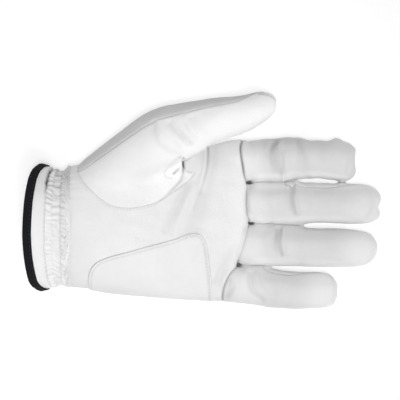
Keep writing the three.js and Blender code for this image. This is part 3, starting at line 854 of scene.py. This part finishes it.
print("cuff")
cuff, side, angle = ringGrid("gathered_cuff", cuffLook["along"], cuffLook["around"])
share = (1 - side) / 2
surface = cuffSurface(share, angle)
ringY, ringZ = wristRing(angle)
blend = ramp(share, 0.14, 0.0)
surface[:, 1] += (ringY - surface[:, 1]) * blend
surface[:, 2] += (ringZ - surface[:, 2]) * blend
turn = np.linspace(0, 2 * math.pi, 2001)
arc = lengthAlong(cuffSurface(np.full(len(turn), 0.4), turn))
girth = arc[-1]
radius = girth / (2 * math.pi)
place = np.interp(angle, turn, arc) / girth * 2 * math.pi     # even steps round the girth


def patches(pitch, stretch, seed):
    # noise over the cuff's surface; pitch goes round the cuff, stretch along it
    r = radius / pitch
    return np.array([
        noise.noise((r * math.cos(turned), r * math.sin(turned), far * 27 / stretch + seed))
        for turned, far in zip(place, share)
    ])


def ridges(pitch, wander, slant, seed, sharp=0.6):
    # ridges across the rows, one every pitch, wandering sideways, with sharp valleys
    turned = place * round(girth / pitch) / 2 + wander * patches(7, 9, seed) + slant * share
    return np.abs(np.cos(turned)) ** sharp - 0.6


strength = across(share, cuffRows, 4)
upper = ramp(surface[:, 1], -12, 6)               # gathered hardest under the thumb
lower = 0.3 * ramp(surface[:, 1], -34, -48)
inChannel = ramp(share, 0.015, 0.10) * ramp(share, 0.235, 0.20)
inRow = ramp(share, 0.40, 0.43) * ramp(share, 0.575, 0.55)
midBand = (1 - np.maximum(inChannel, inRow)) * ramp(share, 0.75, 0.55)
uneven = 1 + 0.9 * patches(9, 12, 31.0)
lumps = patches(2.4, 3.2, 71.0)
scales = ridges(2.7, 2.8, 2.0, 15.0, sharp=1.3) * uneven + 0.35 * lumps
creases = ridges(5.4, 2.8, 0.0, 2.0, sharp=0.7) * uneven
strokes = ridges(4.2, 4.0, 9.0, 21.0, sharp=1.2) * uneven
rope = ridges(2.7, 2.6, 16, 5.0, sharp=1.2) * (0.8 + 1.2 * patches(5, 6, 41.0)) + 0.5 * lumps
gathered = upper + lower
rise = midBand * strength * (gathered * (1.5 * creases + 0.5 * scales) + (1 - upper) * 0.8 * strokes)
rise += inRow * (0.15 + 0.55 * gathered + (0.35 + 1.5 * gathered) * scales + 0.55 * (1 - upper) * strokes)
rise += inChannel * (0.45 + (1.25 + 0.65 * gathered) * rope)
# painted shade on the cuff: its creases, rope valleys, scale valleys and grooves are painted darker
cuffShade = 0.5 * np.clip(-creases, 0, 1) * midBand * strength * gathered
cuffShade += 0.2 * np.clip(-rope, 0, 1) * inChannel
cuffShade += (0.1 + 0.7 * gathered) * np.clip(-scales - 0.1, 0, 1) * inRow
cuffShade += 0.08 * np.clip(-strokes, 0, 1) * midBand * strength
rise += 0.45 * patches(4.5, 9, 61.0) * ramp(share, 0.58, 0.68) * ramp(share, 1, 0.85)
deepCrease = np.exp(-((share - 0.58) * cuffReach(angle) / 0.9) ** 2) * ramp(surface[:, 1], 3, 13)
rise -= 1.4 * deepCrease
cuffShade += 0.7 * deepCrease * (1 + patches(3, 5, 51.0))
for groove, deep in cuffLook["grooves"]:
    near = np.exp(-((share - groove) * cuffReach(angle) / 0.5) ** 2)
    rise -= deep * near * (0.7 + 0.5 * strength)
    cuffShade += (0.2 + 0.5 * np.clip(-rope - 0.2, 0, 1)) * near * deep
# painted shade: the cuff's side towards the thumb is painted greyer, as lying in shade
cuffShade += ramp(surface[:, 1], -4, 16) * (0.05 + 0.09 * ramp(share, 0.7, 0.5))   # the thumb's side is greyer
surface += outward(share, angle) * rise[:, None] * ramp(surface[:, 2], 0.3, 3)[:, None]
surface[:, 0] += 0.4 * strength * creases * ramp(share, 0, 0.3) * ramp(share, 1, 0.8)
setGlovePoints(cuff.data, surface)
shadePoints(cuff.data, "cavity", cuffShade)
# painted light: the tops of the rope, the scales and the strokes are painted lighter as if lit, and the
# cuff's lower side lighter still
litTone = np.clip(1.6 * rope, 0, 1) * inChannel + np.clip(1.4 * scales, 0, 1) * inRow
litTone += 0.3 * midBand * np.clip(strokes, 0, 1)
shadePoints(cuff.data, "pale", 0.55 * np.clip(litTone, 0, 1) + 0.3 * ramp(surface[:, 1], 8, -14))
closeRing(cuff)
pieces["gathered_cuff"] = cuff

print("binding")
tapeLook = {"around": 300, "wide": 5.4}
# the tape's section: back from the edge, out from the cuff's surface
reachIn, wall = tapeLook["wide"] - 0.9, cuffLook["thick"]
tapeSection = [
    [reachIn, 0.1], [reachIn, 0.75], [reachIn - 0.5, 0.95], [reachIn - 1.1, 0.7], [reachIn - 1.7, 0.95],
    [reachIn - 2.8, 1.1], [reachIn - 3.9, 1.1], [0.2, 1], [-0.5, 0.6], [-0.9, 0], [-0.95, -wall / 2],
    [-0.9, -wall], [-0.5, -wall - 0.6], [0.2, -wall - 1], [2, -wall - 1], [reachIn, -wall - 0.9],
    [reachIn, -wall - 0.1], [0.1, -wall - 0.1], [-0.1, -wall / 2], [0.1, 0.1],
]
tape, side, angle = ringGrid("cuff_binding", len(tapeSection), tapeLook["around"])
k = (side + 1) / 2 * len(tapeSection)
closed = np.array(tapeSection + tapeSection[:1], float)
back, out = [np.interp(k, np.arange(len(closed)), closed[:, i]) for i in range(2)]
wave = 0.12 * np.sin(angle * 17) + 0.10 * np.sin(angle * 41 + 2)
share = 1 - np.maximum(back, 0) / cuffReach(angle)
surface = cuffSurface(share, angle) + outward(share, angle) * (out + wave * (out > 0))[:, None]
surface[:, 0] -= np.maximum(-back, 0)
surface[:, 2] = np.maximum(surface[:, 2], 0.05)
setGlovePoints(tape.data, surface)
closeRing(tape)


# Materials
def node(m, kind):
    return m.node_tree.nodes.new("ShaderNode" + kind)


def join(m, output, socket):
    m.node_tree.links.new(output, socket)


def material(name, colour, rough, specular=0.5):
    m = bpy.data.materials.new(name)
    m.use_nodes = True
    m.node_tree.nodes.clear()
    shader = node(m, "BsdfPrincipled")
    shader.inputs["Base Color"].default_value = colour
    shader.inputs["Roughness"].default_value = rough
    shader.inputs["Specular IOR Level"].default_value = specular
    join(m, shader.outputs["BSDF"], node(m, "OutputMaterial").inputs["Surface"])
    return m, shader


def onGlove(m):
    # the place on the glove, in millimetres
    scale = node(m, "VectorMath")
    scale.operation = "SCALE"
    scale.inputs["Scale"].default_value = 1 / mm
    join(m, node(m, "TexCoord").outputs["Object"], scale.inputs[0])
    return scale.outputs[0]


def texture(m, where, kind, **values):
    made = node(m, "Tex" + kind)
    for socket, value in values.items():
        made.inputs[socket].default_value = value
    join(m, where, made.inputs["Vector"])
    return made


def painted(m, name):
    layer = node(m, "Attribute")
    layer.attribute_name = name
    return layer.outputs["Fac"]


def mixed(m, factor, first, second):
    # the first is a colour or another node's output
    mix = node(m, "Mix")
    mix.data_type = "RGBA"
    join(m, factor, mix.inputs["Factor"])
    if isinstance(first, bpy.types.NodeSocket):
        join(m, first, mix.inputs[6])
    else:
        mix.inputs[6].default_value = first
    mix.inputs[7].default_value = second
    return mix.outputs[2]


def bumped(m, height, strength, distance, under=None):
    bump = node(m, "Bump")
    bump.inputs["Strength"].default_value = strength
    bump.inputs["Distance"].default_value = distance
    join(m, height, bump.inputs["Height"])
    if under:
        join(m, under, bump.inputs["Normal"])
    return bump.outputs["Normal"]


# shadeTone is the colour of the painted shade, litTone the colour of the painted light
leatherLook = {
    "light": (0.80, 0.80, 0.80, 1),
    "shade": (0.71, 0.71, 0.71, 1),
    "shadeTone": (0.12, 0.12, 0.12, 1),
    "litTone": (0.90, 0.90, 0.90, 1),
    "rough": 0.46,
}


def whiteLeather(name, tint):
    m, shader = material(name, leatherLook["light"], leatherLook["rough"], 0.4)
    where = onGlove(m)
    light, shade = [[c * tint for c in leatherLook[k][:3]] + [1] for k in ("light", "shade")]
    cloud = texture(m, where, "Noise", Scale=0.06, Detail=4)
    colour = mixed(m, cloud.outputs["Fac"], light, shade)
    colour = mixed(m, painted(m, "pale"), colour, leatherLook["litTone"])
    colour = mixed(m, painted(m, "cavity"), colour, leatherLook["shadeTone"])
    grain = texture(m, where, "Voronoi", Scale=0.85, Randomness=0.45)
    fine = bumped(m, grain.outputs["Distance"], 0.8, 0.00015)
    wrinkle = texture(m, where, "Noise", Scale=0.35, Detail=6)
    soft = bumped(m, wrinkle.outputs["Fac"], 0.35, 0.0005, under=fine)
    join(m, colour, shader.inputs["Base Color"])
    join(m, soft, shader.inputs["Normal"])
    return m


def woven(name, colour, rough, specular, strength, distance, bands="X", **wave):
    m, shader = material(name, colour, rough, specular)
    weave = texture(m, onGlove(m), "Wave", **wave)
    weave.bands_direction = bands
    join(m, bumped(m, weave.outputs["Fac"], strength, distance), shader.inputs["Normal"])
    return m


# the thumb's copy of the leather is painted lighter (painted light) and the fingers' copy darker (painted
# shade), for how light falls on them
leather = whiteLeather("white leather", 1.0)
litThumbLeather = whiteLeather("thumb leather", 1.05)
shadedFingerLeather = whiteLeather("finger leather", 0.87)
greyTextile = woven(
    "grey textile", (0.66, 0.66, 0.665, 1), 0.78, 0.25, 0.4, 0.0001, Scale=1.2, Distortion=1,
)
tapeBlack = woven(
    "black tape", (0.012, 0.012, 0.0135, 1), 0.62, 0.06, 0.5, 0.0002, bands="Y", Scale=0.8, Distortion=0.6,
)
# the white thread is painted grey as the painted shade of the stitch holes it sits in
shadedThread = material("white thread", (0.56, 0.56, 0.57, 1), 0.7)[0]
blackThread = material("black thread", (0.02, 0.02, 0.028, 1), 0.7)[0]
looks = {"thumb_side": greyTextile, "thumb_front": litThumbLeather}
looks.update({name: shadedFingerLeather for name in pieces if "finger" in name or "fourchette" in name})
pick(tape)
bpy.ops.object.shade_smooth()
tape.data.materials.append(tapeBlack)
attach(tape, "root")
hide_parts("cuff_binding")
walls = {"heel_patch": patchLook["thick"], "gathered_cuff": cuffLook["thick"]}
for name, o in pieces.items():
    o.data.materials.append(looks.get(name, leather))
    pick(o)
    bpy.ops.object.shade_smooth()
    wall = o.modifiers.new("wall", "SOLIDIFY")
    wall.thickness = walls.get(name, skinLook["thick"]) * mm
    wall.offset = -1
    bpy.ops.object.modifier_apply(modifier="wall")
    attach(o, "root")
    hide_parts(name)


# Stitches: one short thread, laid again and again along a line on the glove
def offsetLine(points, away, step=1.0):
    line = smoothLine(points, step)
    d = np.gradient(line, axis=0)
    d /= np.linalg.norm(d, axis=1)[:, None]
    return line + away * np.stack([-d[:, 1], d[:, 0]], axis=1)


def evenly(line, pitch):
    lengths = lengthAlong(line)
    at = np.arange(pitch / 2, lengths[-1], pitch)
    return np.stack([np.interp(at, lengths, line[:, k]) for k in range(line.shape[1])], axis=1)


threadSunk = 0.2         # share of its thickness that a stitch is pressed into the leather


def stitches(name, owner, line, pitch, length, thick, look):
    # the line is in plan, with two columns, or in space, with three
    points = [v.co[:] for v in owner.data.vertices]
    tree = BVHTree.FromPolygons(points, [p.vertices[:] for p in owner.data.polygons])
    bpy.ops.mesh.primitive_uv_sphere_add(segments=6, ring_count=5, radius=1, location=(0, 0, 0))
    thread = bpy.context.object
    unit = np.array([v.co[:] for v in thread.data.vertices])
    faces = [list(p.vertices) for p in thread.data.polygons]
    bpy.data.objects.remove(thread)
    shapes = []
    dots = evenly(line, pitch)
    for dot, way in zip(dots, np.gradient(dots, axis=0)):
        if len(dot) == 2:
            start = Vector(((dot[0] + shiftX) * mm, (dot[1] + shiftY) * mm, 0.09))
            hit, normal, _, _ = tree.ray_cast(start, Vector((0, 0, -1)))
        else:
            hit, normal, _, _ = tree.find_nearest(Vector((dot + shift) * mm))
        if hit is None:
            continue
        along = Vector((way[0], way[1], way[2] if len(way) == 3 else 0))
        along = (along - normal * along.dot(normal)).normalized()
        beside = normal.cross(along)
        middle = hit - normal * threadSunk * thick * mm
        turn = np.array([along, beside, normal]) * np.array([[length / 2], [thick / 2], [thick / 2]]) * mm
        shapes.append(unit @ turn + np.array(middle))
    allFaces = [[i + k * len(unit) for i in f] for k in range(len(shapes)) for f in faces]
    mesh = bpy.data.meshes.new(name)
    mesh.from_pydata(np.vstack(shapes).tolist(), [], allFaces)
    made = bpy.data.objects.new(name, mesh)
    bpy.context.collection.objects.link(made)
    made.data.materials.append(look)
    pick(made)
    bpy.ops.object.shade_smooth()
    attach(made, "root")


print("stitches")
sewn = [
    # name, sewn on, line, how far beside it, pitch, length, thickness, thread
    ["thenar", pieces["hand_shell"], thenarSeam[2:12], -1.5, 1.9, 1.0, 0.4, shadedThread],
    ["patch_corner", patch, heelPatchEdge[11:16], -1.5, 2.0, 1.2, 0.45, shadedThread],
    ["patch_top", patch, heelPatchEdge[3:12], -1.3, 2.2, 1.2, 0.3, leather],
    ["patch_side", patch, heelPatchEdge[15:20], -1.2, 2.0, 1.2, 0.45, shadedThread],
    ["patch_inner", patch, heelPatchEdge[15:20], -2.6, 2.0, 1.2, 0.4, shadedThread],
]
for name, owner, line, away, pitch, length, thick, thread in sewn:
    stitches(name + "_stitches", owner, offsetLine(line, away), pitch, length, thick, thread)
palmHalf = [-0.2, math.pi + 0.2]       # the cuff's palm side and a little more
for name, share, pitch in [["row", 0.565, 2.8], ["wrist", 0.05, 4.4]]:
    line = cuffSurface(np.full(400, share), np.linspace(*palmHalf, 400), 0.4)
    stitches("cuff_" + name + "_stitches", cuff, line, pitch, 1.3, 0.4, shadedThread)
angle = np.linspace(*palmHalf, 300)
tapeLine = cuffSurface(1 - (reachIn - 1.1) / cuffReach(angle), angle, 1.0)
stitches("binding_stitches", tape, tapeLine, 2.4, 1.5, 0.4, blackThread)

# Floor, light and camera
bpy.ops.mesh.primitive_plane_add(size=6, location=(0, 0, 0))
floor = bpy.context.object
floor.name = "floor"
paper, surface = material("paper", (0.55, 0.55, 0.55, 1), 0.9, 0)
surface.inputs["Emission Color"].default_value = (1, 1, 1, 1)
surface.inputs["Emission Strength"].default_value = 0.54
floor.data.materials.append(paper)


def addLamp(kind, name, place, watts, towards):
    bpy.ops.object.light_add(type=kind, location=place)
    lamp = bpy.context.object
    lamp.name = name
    lamp.data.energy = watts
    lamp.rotation_euler = towards.to_track_quat("-Z", "Y").to_euler()
    return lamp.data


softboxes = [
    # name, place, size, watts
    ["left fill", (-0.7, 0.7, 1.2), 0.7, 4.4],
    ["low right", (1.3, 0.0, 0.7), 0.5, 5.0],
    ["low front", (0.0, -1.3, 0.7), 0.5, 5.0],
]
for name, place, size, watts in softboxes:
    addLamp("AREA", name, place, watts, -Vector(place)).size = size
aim = Vector((-0.035, -0.02, 0.03))
spots = [
    # name, place, watts: both point at the palm with a wide soft edge, so that the fingers fall off a little
    ["key", (0.0, -0.2, 1.9), 116],
    ["side", (0.25, -0.7, 1.5), 38],
]
for name, place, watts in spots:
    spot = addLamp("SPOT", name, place, watts, aim - Vector(place))
    spot.spot_size = math.radians(16)
    spot.spot_blend = 1
    spot.shadow_soft_size = 0.25
world = bpy.data.worlds.new("studio")
world.use_nodes = True
world.node_tree.nodes["Background"].inputs["Color"].default_value = (1, 1, 1, 1)
world.node_tree.nodes["Background"].inputs["Strength"].default_value = 0.14
bpy.context.scene.world = world

mmPerPixel = 0.62
photoWide = 400          # pixels
cameraHeight = 2.0
focusHeight = 0.020      # the height at which the scale is exact
viewWidth = photoWide * mmPerPixel * mm
bpy.ops.object.camera_add(location=(shiftX * mm, shiftY * mm, cameraHeight), rotation=(0, 0, 0))
camera = bpy.context.object
sensor = 36
camera.data.sensor_width = sensor
camera.data.lens = sensor * (cameraHeight - focusHeight) / viewWidth
bpy.context.scene.camera = camera
bpy.context.scene.view_settings.view_transform = "Standard"
